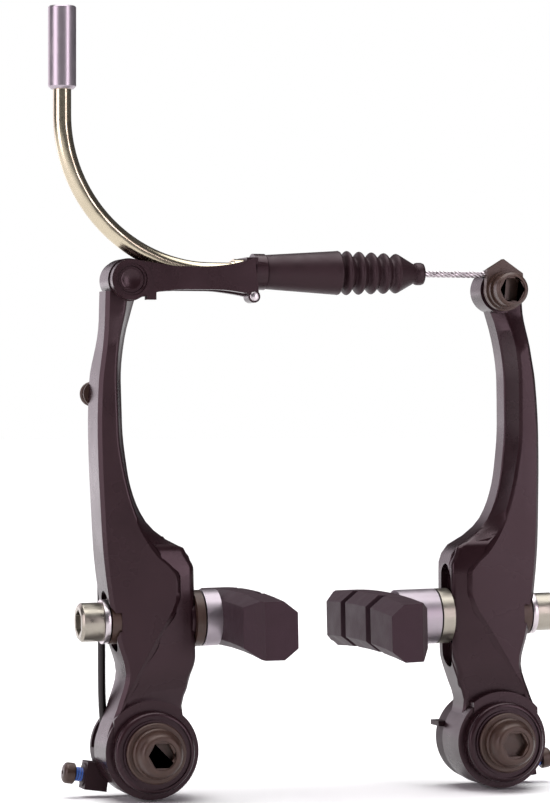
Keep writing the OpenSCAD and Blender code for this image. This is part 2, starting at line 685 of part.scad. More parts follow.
module pipe_ferrule() {
    translate([up_x, cable_y, ferrule_z]) difference() {
        rotate_extrude($fn = 64) polygon([
            [0, 0], [ferrule_d / 2 - 0.6, 0], [ferrule_d / 2, 0.6], [ferrule_d / 2, ferrule_l - 0.3],
            [ferrule_d / 2 - 0.3, ferrule_l], [0, ferrule_l]
        ]);
        translate([0, 0, -1]) cylinder(r = pipe_r + 0.02, h = 6);
        cylinder(r = liner_bore + 0.3, h = ferrule_l);
        translate([0, 0, ferrule_l - housing_depth]) cylinder(r = housing_d / 2, h = housing_depth + 1);
    }
}
module pipe_nose() {
    // Turned tip: a shoulder behind the link's nose, a neck through it and a spout for the boot
    shoulder = nose_x - 0.02;
    neck_end = pin_x + link_l + 0.3;
    translate([0, cable_y, cable_z]) difference() {
        union() {
            rod_x(nose_bore - run, shoulder - 5, neck_end);
            translate([neck_end - 0.5, 0, 0]) along_x() cylinder(r1 = nose_bore - run, r2 = 1.5, h = 7);
            rod_x(2.75, shoulder - 4.3, shoulder - 2.25);
        }
        rod_x(pipe_r + 0.02, shoulder - 6, nose_x - 2.98);
        rod_x(liner_bore, shoulder - 6, neck_end + 9, 32);
    }
}

// Boot: a sleeve that widens, the bellows and a tip that narrows to the cable
boot_x = pin_x + link_l + gap;
bellows_x = boot_x + sleeve_l;
tip_x = bellows_x + rings * ring_pitch;
boot_end = tip_x + tip_l;
function ring_at(i) = ring_r - 0.13 * i;
function bellows() = [for (i = [0:rings - 1]) each [
    [ring_at(i), bellows_x + (i + 0.38) * ring_pitch], [ring_at(i), bellows_x + (i + 0.62) * ring_pitch],
    [valley_r, bellows_x + (i + 0.95) * ring_pitch], [valley_r, bellows_x + (i + 1.05) * ring_pitch]
]];
module cable_boot() {
    spout = nose_bore + 0.25;
    translate([0, cable_y, cable_z]) along_x() rotate_extrude($fn = 72) polygon(concat(
        [[spout, boot_x], [3.65, boot_x], [3.8, boot_x + 0.4], [ring_r, bellows_x - 0.6], [valley_r, bellows_x]],
        bellows(),
        [[ring_at(rings), tip_x + 1.4], [2.15, boot_end - 2.3], [2.45, boot_end - 1.9], [2.45, boot_end - 0.4],
            [2.2, boot_end], [cable_d / 2 + 0.15, boot_end], [cable_d / 2 + 0.15, boot_end - 2.4],
            [ring_at(rings) - 1, tip_x + 1.2]],
        [for (i = [rings:-1:1]) each [
            [valley_r - boot_wall, bellows_x + i * ring_pitch],
            [ring_at(i) - boot_wall, bellows_x + (i - 0.5) * ring_pitch]
        ]],
        [[valley_r - boot_wall, bellows_x], [spout + 0.4, boot_x + 7], [spout, boot_x + 6]]
    ));
}

// Inner cable along its whole route: ferrule, bend, link, boot and clamp
anchor_end = anchor_x + head_r - 0.6;
module inner_cable() {
    route = concat(
        [[up_x, ferrule_z + ferrule_l - housing_depth - 0.3], [up_x, up_z + 4]],
        [for (a = [0:7.5:90]) [bend_x - bend_r * cos(a), up_z - bend_r * sin(a)]],
        [for (x = [bend_x + 6:6:anchor_end - 4]) [x, cable_z]],
        [[anchor_end, cable_z]]
    );
    wire([for (p = route) [p[0], cable_y, p[1]]], cable_d / 2);
}

// Cable clamp on the right arm's head
plate_back = cable_y - 0.45;
plate_front = plate_back - clamp_t;
module clamp_plate() {
    on_arm(1) translate([-head_out, 0, head_at[1]]) difference() {
        union() {
            translate([0, plate_back, 0]) rotate([90, 0, 0]) linear_extrude(clamp_t) {
                circle(r = 4.6, $fn = 48);
                polygon([[4.4, -1.5], [4.5, 1], [4.2, 4.6], [0.3, 6.9], [-4.2, 3.7], [-4.4, -1.5]]);
            }
            rod_y(clamp_head_r + 0.45, plate_front - 1.5, plate_front + tiny);
        }
        rod_y(clamp_d / 2 + run, plate_front - 3, plate_back + 1);
        translate([0, cable_y, anchor_rise]) rod_x(cable_d / 2 + run, -9, 9, 24);
    }
}
module anchor_bolt() {
    seat = plate_front - 1.52;
    top = seat - clamp_head_h;
    on_arm(1) translate([-head_out, 0, head_at[1]]) difference() {
        union() {
            rod_y(clamp_d / 2, seat - 1, head_back[1] + 0.4);
            translate([0, top, 0]) along_y() rotate_extrude($fn = 64) polygon([
                [0, 0], [clamp_head_r - 0.5, 0], [clamp_head_r, 0.5], [clamp_head_r, clamp_head_h], [0, clamp_head_h]
            ]);
        }
        rod_y(2.5 / cos(30), top - 1, top + 2.6, 6);
        rod_y(2.9, top - 1, top + 0.3);
    }
}

// Each piece of one side, by name
module side_piece(name, side) {
    k = side < 0 ? 0 : 1;
    if (name == "arm") color(black) on_arm(side) arm_body(k);
    if (name == "pivot_bushing") color(steel) at_stud(side) pivot_bushing();
    if (name == "pivot_bolt") color(dark_steel) at_stud(side) pivot_bolt();
    if (name == "pivot_washer") color(dark_steel) at_stud(side) pivot_washer();
    if (name == "spring_housing") color(black) at_stud(side) spring_housing();
    if (name == "spring") color(dark_steel) at_stud(side) spring(side);
    if (name == "spring_pin") color(steel) at_stud(side) spring_pin();
    if (name == "tension_screw") color(dark_steel) at_stud(side) tension_screw();
    if (name == "spring_stop") color(dark_steel) on_arm(side) spring_stop();
    if (name == "shoe") color(rubber) on_arm(side) shoe(k);
    if (name == "shoe_stud") color(steel) on_arm(side) shoe_stud(k);
    if (name == "inner_convex_washer") color(steel) on_arm(side) inner_convex_washer(k);
    if (name == "inner_cup_washer") color(k == 0 ? dark_steel : zinc) on_arm(side) inner_cup_washer(k);
    if (name == "outer_convex_washer") color(steel) on_arm(side) outer_convex_washer();
    if (name == "outer_cup_washer") color(steel) on_arm(side) outer_cup_washer();
    if (name == "shoe_nut") color(zinc) on_arm(side) shoe_nut();
}
module middle_piece(name) {
    if (name == "link") color(black) link();
    if (name == "link_pin") color(black) link_pin();
    if (name == "guide_pipe") color(zinc) guide_pipe();
    if (name == "pipe_ferrule") color(steel) pipe_ferrule();
    if (name == "pipe_nose") color(steel) pipe_nose();
    if (name == "pipe_liner") color("white") pipe_liner();
    if (name == "cable_boot") color(black) cable_boot();
    if (name == "inner_cable") color(steel) inner_cable();
    if (name == "anchor_bolt") color(dark_steel) anchor_bolt();
    if (name == "clamp_plate") color(dark_steel) clamp_plate();
}

side_piece("arm", -1);  // left_arm
side_piece("pivot_bushing", -1);  // left_pivot_bushing
side_piece("pivot_bolt", -1);  // left_pivot_bolt
side_piece("pivot_washer", -1);  // left_pivot_washer
side_piece("spring_housing", -1);  // left_spring_housing
side_piece("spring", -1);  // left_spring
side_piece("spring_pin", -1);  // left_spring_pin
side_piece("tension_screw", -1);  // left_tension_screw
side_piece("spring_stop", -1);  // left_spring_stop
side_piece("shoe", -1);  // left_shoe
side_piece("shoe_stud", -1);  // left_shoe_stud
side_piece("inner_convex_washer", -1);  // left_inner_convex_washer
side_piece("inner_cup_washer", -1);  // left_inner_cup_washer
side_piece("outer_convex_washer", -1);  // left_outer_convex_washer
side_piece("outer_cup_washer", -1);  // left_outer_cup_washer
side_piece("shoe_nut", -1);  // left_shoe_nut
side_piece("arm", 1);  // right_arm
side_piece("pivot_bushing", 1);  // right_pivot_bushing
side_piece("pivot_bolt", 1);  // right_pivot_bolt
side_piece("pivot_washer", 1);  // right_pivot_washer
side_piece("spring_housing", 1);  // right_spring_housing
side_piece("spring", 1);  // right_spring
side_piece("spring_pin", 1);  // right_spring_pin
side_piece("tension_screw", 1);  // right_tension_screw
side_piece("spring_stop", 1);  // right_spring_stop
side_piece("shoe", 1);  // right_shoe
side_piece("shoe_stud", 1);  // right_shoe_stud
side_piece("inner_convex_washer", 1);  // right_inner_convex_washer
side_piece("inner_cup_washer", 1);  // right_inner_cup_washer
side_piece("outer_convex_washer", 1);  // right_outer_convex_washer
side_piece("outer_cup_washer", 1);  // right_outer_cup_washer
side_piece("shoe_nut", 1);  // right_shoe_nut
middle_piece("link");  // link
middle_piece("link_pin");  // link_pin
middle_piece("guide_pipe");  // guide_pipe
middle_piece("pipe_ferrule");  // pipe_ferrule
middle_piece("pipe_nose");  // pipe_nose
middle_piece("pipe_liner");  // pipe_liner
middle_piece("cable_boot");  // cable_boot
middle_piece("inner_cable");  // inner_cable
middle_piece("anchor_bolt");  // anchor_bolt
middle_piece("clamp_plate");  // clamp_plate
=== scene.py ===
import json
import bpy
import bmesh
from math import sin, cos, pi, radians
from mathutils import Matrix, Vector


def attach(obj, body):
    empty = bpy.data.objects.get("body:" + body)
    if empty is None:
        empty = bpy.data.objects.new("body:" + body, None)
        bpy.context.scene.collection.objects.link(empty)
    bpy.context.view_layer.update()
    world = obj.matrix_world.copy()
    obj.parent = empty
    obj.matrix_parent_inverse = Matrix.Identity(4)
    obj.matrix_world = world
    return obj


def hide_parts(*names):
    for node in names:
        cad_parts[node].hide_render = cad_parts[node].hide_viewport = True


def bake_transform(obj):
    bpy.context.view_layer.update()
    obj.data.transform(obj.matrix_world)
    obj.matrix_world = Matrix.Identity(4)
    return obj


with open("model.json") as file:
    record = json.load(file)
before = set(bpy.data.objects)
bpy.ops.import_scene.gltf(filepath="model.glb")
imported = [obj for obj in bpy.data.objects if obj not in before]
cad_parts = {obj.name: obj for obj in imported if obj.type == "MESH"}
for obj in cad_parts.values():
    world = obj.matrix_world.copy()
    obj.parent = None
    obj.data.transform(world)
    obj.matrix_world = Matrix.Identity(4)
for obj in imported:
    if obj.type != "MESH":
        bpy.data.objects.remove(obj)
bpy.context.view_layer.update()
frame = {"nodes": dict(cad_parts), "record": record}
mm = 0.001
print("frame loaded:", len(frame["nodes"]), "nodes")


# small tools

def tone(hexText):
    # sRGB hex to linear colour
    parts = [int(hexText[i:i + 2], 16) / 255 for i in (0, 2, 4)]
    return [p / 12.92 if p <= 0.04045 else ((p + 0.055) / 1.055) ** 2.4 for p in parts] + [1.0]


def addNode(tree, kind, inputs=None, **settings):
    node = tree.nodes.new(kind)
    for key, value in settings.items():
        setattr(node, key, value)
    for key, value in (inputs or {}).items():
        if isinstance(value, bpy.types.NodeSocket):
            tree.links.new(value, node.inputs[key])
        else:
            node.inputs[key].default_value = value
    return node


def meshOf(name, points, faces):
    mesh = bpy.data.meshes.new(name)
    mesh.from_pydata([tuple(p) for p in points], [], faces)
    mesh.update()
    return mesh


def outward(mesh):
    bm = bmesh.new()
    bm.from_mesh(mesh)
    bmesh.ops.remove_doubles(bm, verts=bm.verts, dist=1e-6)
    bmesh.ops.recalc_face_normals(bm, faces=bm.faces)
    bm.to_mesh(mesh)
    bm.free()
    return mesh


def turned(name, profile, centre, along=(1, 0, 0), steps=96):
    # profile is (radius, distance along the axis) in mm, from one pole to the other
    direction = Vector(along).normalized()
    side = direction.cross(Vector((0, 0, 1)) if abs(direction.z) < 0.9 else Vector((1, 0, 0))).normalized()
    up = direction.cross(side)
    points, rings = [], []
    for radius, t in profile:
        base = Vector(centre) + direction * t
        count = 1 if radius < 1e-6 else steps
        rings.append(range(len(points), len(points) + count))
        for k in range(count):
            a = 2 * pi * k / steps
            points.append((base + (side * cos(a) + up * sin(a)) * radius) * mm)
    faces = []
    for a, b in zip(rings, rings[1:]):
        for k in range(steps):
            quad = [a[k % len(a)], a[(k + 1) % len(a)], b[(k + 1) % len(b)], b[k % len(b)]]
            quad = list(dict.fromkeys(quad))
            if len(quad) > 2:
                faces.append(quad)
    return outward(meshOf(name, points, faces))


def swept(name, path, radius, sides=20):
    # round bar along a path in mm, its frame carried along without twist
    points, faces = [], []
    path = [Vector(p) for p in path]
    side = None
    for i, p in enumerate(path):
        ahead = (path[min(i + 1, len(path) - 1)] - path[max(i - 1, 0)]).normalized()
        if side is None:
            side = ahead.orthogonal().normalized()
        side = (side - ahead * side.dot(ahead)).normalized()
        up = ahead.cross(side)
        for k in range(sides):
            a = 2 * pi * k / sides
            points.append((p + (side * cos(a) + up * sin(a)) * radius) * mm)
    for i in range(len(path) - 1):
        for k in range(sides):
            j = (k + 1) % sides
            faces.append([i * sides + k, i * sides + j, (i + 1) * sides + j, (i + 1) * sides + k])
    faces.append(list(range(sides))[::-1])
    faces.append([(len(path) - 1) * sides + k for k in range(sides)])
    return outward(meshOf(name, points, faces))


def joined(name, meshes):
    points, faces = [], []
    for mesh in meshes:
        start = len(points)
        points += [v.co.copy() for v in mesh.vertices]
        faces += [[start + i for i in f.vertices] for f in mesh.polygons]
    return meshOf(name, points, faces)


def worked(node, width=0.15, angle=30, segments=2, flat=0.8):
    # copy of a frame node with its edges broken by a small round
    bm = bmesh.new()
    bm.from_mesh(frame["nodes"][node].data)
    bmesh.ops.remove_doubles(bm, verts=bm.verts, dist=2e-6)
    bmesh.ops.dissolve_limit(bm, angle_limit=radians(flat), verts=bm.verts, edges=bm.edges)
    if width > 0:
        sharp = [e for e in bm.edges if e.is_manifold and e.calc_face_angle(0) > radians(angle)]
        bmesh.ops.bevel(bm, geom=sharp, offset=width * mm, offset_type="OFFSET", segments=segments,
                        profile=0.5, affect="EDGES", clamp_overlap=True)
    bm.verts.index_update()
    mesh = meshOf(node + "Worked", [v.co for v in bm.verts], [[v.index for v in f.verts] for f in bm.faces])
    bm.free()
    return mesh


def carved(mesh, cutter):
    # the mesh with the cutter's volume taken out
    body, tool = bpy.data.objects.new("carveBody", mesh), bpy.data.objects.new("carveTool", cutter)
    bpy.context.scene.collection.objects.link(body)
    bpy.context.scene.collection.objects.link(tool)
    modifier = body.modifiers.new("carve", "BOOLEAN")
    modifier.operation = "DIFFERENCE"
    modifier.object = tool
    result = bpy.data.meshes.new_from_object(body.evaluated_get(bpy.context.evaluated_depsgraph_get()))
    bpy.data.objects.remove(body)
    bpy.data.objects.remove(tool)
    return result


bodyOf = {n: body for body, nodes in frame["record"]["behaviour"]["bodies"].items() for n in nodes}


def place(name, mesh, material, body=None, nodes=(), smooth=32):
    mesh.materials.clear()
    mesh.materials.append(material)
    mesh.shade_smooth()
    mesh.set_sharp_from_angle(angle=radians(smooth))
    piece = bpy.data.objects.new(name, mesh)
    bpy.context.scene.collection.objects.link(piece)
    if body:
        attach(piece, body)
    if nodes:
        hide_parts(*nodes)
    # broad faces keep their own normals beside the small rounds
    weighted = piece.modifiers.new("weighted", "WEIGHTED_NORMAL")
    weighted.keep_sharp = True
    return piece


# finishes

def finish(name, look):
    # grain and patch are pattern sizes in mm, relief is the height of the bump in mm
    material = bpy.data.materials.new(name)
    material.use_nodes = True
    tree = material.node_tree
    tree.nodes.clear()
    coords = addNode(tree, "ShaderNodeTexCoord").outputs["Object"]
    patch = addNode(tree, "ShaderNodeTexNoise", {"Vector": coords, "Scale": 1 / (look["patch"] * mm), "Detail": 3.0})
    grain = addNode(tree, "ShaderNodeTexNoise", {"Vector": coords, "Scale": 1 / (look["grain"] * mm), "Detail": 2.0})
    colour = addNode(tree, "ShaderNodeMix", {"Factor": patch.outputs["Fac"], "A": tone(look["dark"]), "B": tone(look["light"])},
                     data_type="RGBA")
    rough = addNode(tree, "ShaderNodeMapRange", {"Value": patch.outputs["Fac"], "From Min": 0.3, "From Max": 0.7,
                                                 "To Min": look["rough"] - look["spread"], "To Max": look["rough"] + look["spread"]})
    height = grain.outputs["Fac"]
    if "rings" in look:
        # turning marks: rings around a centre given in mm, square to an axis
        centre, axis, pitch = look["rings"]
        moved = addNode(tree, "ShaderNodeMapping", {"Vector": coords, "Location": [-c * mm for c in centre]})
        rings = addNode(tree, "ShaderNodeTexWave", {"Vector": moved.outputs["Vector"], "Scale": 0.31 / (pitch * mm), "Distortion": 0.4},
                        wave_type="RINGS", rings_direction=axis)
        height = addNode(tree, "ShaderNodeMath", {0: rings.outputs["Fac"], 1: grain.outputs["Fac"]}, operation="ADD").outputs[0]
    bump = addNode(tree, "ShaderNodeBump", {"Height": height, "Distance": look["relief"] * mm, "Strength": 1.0})
    shader = addNode(tree, "ShaderNodeBsdfPrincipled", {
        "Base Color": colour.outputs["Result"], "Roughness": rough.outputs["Result"], "Normal": bump.outputs["Normal"],
        "Metallic": look.get("metal", 0.0), "Coat Weight": look.get("coat", 0.0), "Coat Roughness": look.get("coatRough", 0.15),
        "Specular IOR Level": look.get("specular", 0.5), "Specular Tint": look.get("tint", (1, 1, 1, 1))})
    output = addNode(tree, "ShaderNodeOutputMaterial")
    # linked by name: the mix node has several sockets called A, B and Result
    tree.links.new(colour.outputs[2], shader.inputs["Base Color"])
    colour.inputs[6].default_value = tone(look["dark"])
    colour.inputs[7].default_value = tone(look["light"])
    tree.links.new(shader.outputs["BSDF"], output.inputs["Surface"])
    return material


# forged aluminium under black paint: deep brown black, satin, with a fine orange peel
blackForging = finish("blackPaintedForging", {"dark": "190c0f", "light": "241418", "rough": 0.28, "spread": 0.04,
                                              "grain": 0.5, "patch": 9, "relief": 0.008, "specular": 0.3, "tint": (1, 0.74, 0.82, 1)})
# glass-filled nylon: the spring housings, a little duller than the arms
blackNylon = finish("blackMouldedNylon", {"dark": "190c0e", "light": "221316", "specular": 0.26, "tint": (1, 0.76, 0.84, 1), "rough": 0.5, "spread": 0.05,
                                          "grain": 0.35, "patch": 5, "relief": 0.008})
# moulded brake rubber: purple grey, matt, with a sandy skin
padRubber = finish("mouldedPadRubber", {"dark": "23161b", "light": "33242b", "specular": 0.26, "tint": (1, 0.76, 0.84, 1), "rough": 0.6, "spread": 0.06,
                                        "grain": 0.55, "patch": 4, "relief": 0.04})
# soft black rubber of the bellows boot
bootRubber = finish("softBootRubber", {"dark": "190c0f", "light": "241418", "specular": 0.3, "tint": (1, 0.74, 0.82, 1), "rough": 0.5, "spread": 0.06,
                                       "grain": 0.4, "patch": 3, "relief": 0.01})
# turned steel, bright
brightSteel = finish("turnedSteel", {"dark": "a79fa3", "light": "c9c1c4", "rough": 0.32, "spread": 0.05,
                                     "grain": 0.25, "patch": 3, "relief": 0.004, "metal": 1.0})
# anodised aluminium spacer: pale silver with a pink cast, soft sheen
paleSpacer = finish("silverAnodisedSpacer", {"dark": "8f868d", "light": "a39aa1", "rough": 0.42, "spread": 0.04,
                                             "grain": 0.3, "patch": 3, "relief": 0.003, "metal": 1.0})
# yellow-passivated zinc on steel
zincSteel = finish("zincPlatedSteel", {"dark": "827c73", "light": "a59f94", "rough": 0.34, "spread": 0.08,
                                       "grain": 0.3, "patch": 2, "relief": 0.004, "metal": 1.0})
# chromed steel tube, warm
chromePipe = finish("chromedTube", {"dark": "aaa08b", "light": "beb49f", "rough": 0.2, "spread": 0.03,
                                    "grain": 0.6, "patch": 6, "relief": 0.001, "metal": 1.0})
# brushed aluminium of the ferrule
ferruleSilver = finish("brushedFerrule", {"dark": "938a92", "light": "a89fa6", "rough": 0.36, "spread": 0.03,
                                          "grain": 0.3, "patch": 5, "relief": 0.003, "metal": 1.0})
# black oxide on steel: oily brown black with a metal's gloss
blackOxide = finish("blackOxideSteel", {"dark": "2a1913", "light": "47322a", "rough": 0.42, "spread": 0.07,
                                        "grain": 0.3, "patch": 2, "relief": 0.005, "metal": 0.3})
springSteel = finish("blackSpringSteel", {"dark": "1e1a1b", "light": "2f2a2b", "rough": 0.3, "spread": 0.05,
                                          "grain": 0.3, "patch": 3, "relief": 0.003, "metal": 0.7})
linerPlastic = finish("whiteLiner", {"dark": "d8d8d2", "light": "e6e6e2", "rough": 0.5, "spread": 0.05,
                                     "grain": 0.5, "patch": 3, "relief": 0.003})
threadLock = finish("blueThreadLock", {"dark": "2b4f9c", "light": "3d6cc4", "rough": 0.5, "spread": 0.08,
                                       "grain": 0.3, "patch": 0.8, "relief": 0.03})
paleFloor = finish("paleFloor", {"dark": "fbfbfb", "light": "ffffff", "rough": 0.8, "spread": 0.05,
                                 "grain": 2, "patch": 40, "relief": 0.0})
print("finishes made")

# camera and light

view = {"place": (-0.2201, -0.6907, 0.0729), "target": (-0.01095, 0, 0.0752), "lens": 148.08}
camera = bpy.data.objects.new("camera", bpy.data.cameras.new("camera"))
camera.data.sensor_fit = "VERTICAL"
camera.data.sensor_height = 36
camera.data.lens = view["lens"]
camera.data.clip_start = 0.01
camera.location = view["place"]
camera.rotation_euler = (Vector(view["target"]) - Vector(view["place"])).to_track_quat("-Z", "Y").to_euler()
bpy.context.scene.collection.objects.link(camera)
bpy.context.scene.camera = camera
bpy.context.scene.view_settings.view_transform = "Standard"

lamps = {
    "leftBox": {"place": (-0.9, -0.3, 0.2), "size": (0.5, 0.8), "power": 5.0, "tint": (1.0, 0.9, 0.98)},
    "backLeftBox": {"place": (-0.45, 0.85, 0.25), "size": (0.7, 0.8), "power": 3.0, "tint": (1.0, 0.9, 0.98)},
    "rightBox": {"place": (0.5, -0.83, 0.2), "size": (0.26, 0.7), "power": 3.6, "tint": (1.0, 0.9, 0.98)},
    "topBox": {"place": (-0.1, 0.0, 0.95), "size": (0.8, 0.8), "power": 3.0},
}
for name, lamp in lamps.items():
    light = bpy.data.lights.new(name, "AREA")
    light.shape = "RECTANGLE"
    light.size, light.size_y = lamp["size"]
    light.energy = lamp["power"]
    light.color = lamp.get("tint", (1, 1, 1))
    holder = bpy.data.objects.new(name, light)
    holder.location = lamp["place"]
    holder.rotation_euler = (Vector((0, 0, 0.06)) - Vector(lamp["place"])).to_track_quat("-Z", "Y").to_euler()
    bpy.context.scene.collection.objects.link(holder)

sun = bpy.data.lights.new("evenLight", "SUN")
sun.energy = 3.3
sun.angle = radians(70)
holder = bpy.data.objects.new("evenLight", sun)
bpy.context.scene.collection.objects.link(holder)

world = bpy.data.worlds.new("studio")
bpy.context.scene.world = world
world.use_nodes = True
tree = world.node_tree
tree.nodes.clear()
seen = addNode(tree, "ShaderNodeLightPath").outputs["Is Camera Ray"]
room = addNode(tree, "ShaderNodeBackground", {"Color": (0.95, 0.93, 1.0, 1), "Strength": 0.1})
backdrop = addNode(tree, "ShaderNodeBackground", {"Color": (1, 1, 1, 1), "Strength": 1.0})
both = addNode(tree, "ShaderNodeMixShader", {0: seen, 1: room.outputs[0], 2: backdrop.outputs[0]})
addNode(tree, "ShaderNodeOutputWorld", {"Surface": both.outputs[0]})

floorMesh = meshOf("floor", [(-9, -9, -0.0108), (9, -9, -0.0108), (9, 9, -0.0108), (-9, 9, -0.0108)], [[0, 1, 2, 3]])
floorMesh.materials.append(paleFloor)
floor = bpy.data.objects.new("floor", floorMesh)
bpy.context.scene.collection.objects.link(floor)
print("camera and light set")

# pieces that keep the frame's shape

plain = {
    "arm": (blackForging, 0.35, 34), "pivot_bushing": (brightSteel, 0.2, 30), "pivot_bolt": (blackOxide, 0.15, 30),
    "pivot_washer": (blackOxide, 0.12, 30), "spring_housing": (blackNylon, 0.25, 30), "spring_pin": (brightSteel, 0.15, 30),
    "spring_stop": (blackOxide, 0.12, 30), "shoe": (padRubber, 0.3, 24), "shoe_stud": (brightSteel, 0.1, 30),
    "inner_convex_washer": (paleSpacer, 0.15, 30), "inner_cup_washer": (zincSteel, 0.15, 30),
    "outer_convex_washer": (brightSteel, 0.1, 30), "outer_cup_washer": (blackOxide, 0.15, 30), "shoe_nut": (zincSteel, 0.12, 30),
}
middle = {
    "link": (blackForging, 0.3, 28), "link_pin": (blackForging, 0.15, 30), "guide_pipe": (chromePipe, 0.05, 30),
    "pipe_ferrule": (ferruleSilver, 0.15, 30), "pipe_nose": (chromePipe, 0.15, 30), "pipe_liner": (linerPlastic, 0.0, 30),
    "anchor_bolt": (blackOxide, 0.15, 30), "clamp_plate": (blackOxide, 0.15, 30),
}
# long recess on each arm's inner face, around the shoe's post: half width, lowest and highest point, bottom and top, in mm
recess = {"half": 2.7, "y": 0.5, "low": 16.5, "high": 39.5, "floor": 9.0, "out": 13.0, "lean": 1.2}


def recessCutter(side):
    ring = []
    for k in range(33):
        a = pi * k / 32
        ring.append((recess["y"] + recess["half"] * cos(a), recess["high"] - recess["half"] + recess["half"] * sin(a)))
    for k in range(33):
        a = pi + pi * k / 32
        ring.append((recess["y"] + recess["half"] * cos(a), recess["low"] + recess["half"] + recess["half"] * sin(a)))
    points = []
    for x in (recess["floor"], recess["out"]):
        for y, z in ring:
            turn = radians(recess["lean"])
            u = -side * x
            points.append(((side * 40 + u * cos(turn) - z * sin(turn)) * mm, y * mm, (z * cos(turn) + u * sin(turn)) * mm))
    n = len(ring)
    faces = [list(range(n)), [n + k for k in range(n)]] + [[k, (k + 1) % n, n + (k + 1) % n, n + k] for k in range(n)]
    return outward(meshOf("recessCutter", points, faces))


for node in frame["nodes"]:
    kind = node.split("_", 1)[1] if node.startswith(("left_", "right_")) else node
    if kind in plain or node in middle:
        material, width, angle = plain.get(kind) or middle[node]
        if node == "left_inner_cup_washer":
            material = blackOxide
        mesh = worked(node, width, angle)
        if kind == "arm":
            mesh = carved(mesh, recessCutter(-1 if node == "left_arm" else 1))
        place(node + "Finished", mesh, material, bodyOf[node], [node], smooth=38)
print("frame pieces finished")

# forged wall that closes the flank in front of the shoe's slot, sizes in mm
wall = {"panel": [(11, 5.1), (15.3, 2.7), (23.6, -2), (30, -5.9), (33, -6.9), (37.5, -6.9), (42, -2.7), (47, 0.5)],
        "inner": [(9, -7.6), (14, -9.1), (20, -10.6), (39, -10.5), (43, -8.9), (45.5, -4.7), (48, -1.7)],
        "front": [(12, -2.3), (18, -4.0), (38, -4.2), (43, -3.4), (46, -2.2)],
        "back": [(12, -2.0), (18, -2.2), (20.5, -3.25), (35.5, -3.25), (38, -2.2), (46, -2.0)], "lean": 1.2}


def between(rows, z):
    for (a, u), (b, v) in zip(rows, rows[1:]):
        if z <= b:
            s = min(max((z - a) / (b - a), 0), 1)
            return u + (v - u) * s * s * (3 - 2 * s)
    return rows[-1][1]


for side, word in ((-1, "left"), (1, "right")):
    points, faces = [], []
    heights = [12 + 0.85 * k for k in range(41)]
    for z in heights:
        edge, inner = -between(wall["panel"], z) + 0.3, -between(wall["inner"], z)
        front, back = between(wall["front"], z), between(wall["back"], z)
        for x, y in ((edge, -4.5), (inner - 1.3, front - 0.02), (inner - 0.5, front + 0.2), (inner - 0.05, front + 0.75),
                     (inner - 0.05, max(back, front + 0.8)), (edge, max(back, -3.6))):
            x = -side * x
            points.append(((side * 40 + x * cos(radians(wall["lean"])) - z * sin(radians(wall["lean"]))) * mm, y * mm,
                           (z * cos(radians(wall["lean"])) + x * sin(radians(wall["lean"]))) * mm))
    for i in range(len(heights) - 1):
        for k in range(6):
            j = (k + 1) % 6
            faces.append([i * 6 + k, i * 6 + j, i * 6 + 6 + j, i * 6 + 6 + k])
    faces += [list(range(6)), [len(points) - 6 + k for k in range(6)]]
    place(word + "SlotWall", outward(meshOf(word + "SlotWall", points, faces)), blackForging, word + "_arm",
          smooth=50)
print("slot walls made")

# springs

spring = {"wire": 0.85, "coilRadius": 7.0, "coilY": 6.45, "coilDepth": 2.0, "turns": 1.1, "lean": sin(radians(1.2)),
          "leg": [(7.0, 6.45, 0), (7.7, 6.45, 5), (8.0, 6.45, 12), (7.8, 6.4, 26), (7.6, 6.3, 44), (6.7, 6.3, 65),
                  (6.5, 6.3, 77), (6.4, 6.3, 81.5)]}


def alongPath(points, t):
    i = min(int(t), len(points) - 2)
    s = t - i
    a, b, c, d = [Vector(points[min(max(k, 0), len(points) - 1)]) for k in (i - 1, i, i + 1, i + 2)]
    return 0.5 * (2 * b + (c - a) * s + (2 * a - 5 * b + 4 * c - d) * s * s + (3 * b - a - 3 * c + d) * s ** 3)


for side, word in ((-1, "left"), (1, "right")):
    path = []
    for i in range(60):
        t = i / 60
        a = radians(180 + 360 * spring["turns"] * (t - 1))
        path.append((spring["coilRadius"] * cos(a), spring["coilY"] + spring["coilDepth"] * (1 - t), -spring["coilRadius"] * sin(a)))
    for i in range(57):
        p = alongPath(spring["leg"], i / 8)
        path.append((-p.x + side * spring["lean"] * p.z, p.y, p.z))
    path = [(side * 40 - side * x, y, z) for x, y, z in path]
    mesh = swept(word + "SpringWire", path, spring["wire"])
    piece = place(word + "SpringWire", mesh, springSteel, nodes=[word + "_spring"])
    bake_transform(piece)
print("springs made")

# boot

boot = {"start": -14.27, "sleeve": 17.45, "rings": 4, "pitch": 2.85, "ring": 4.85, "valley": 3.4, "tip": 7.8,
        "axisY": -2.5, "axisZ": 103.345, "wall": 0.8}


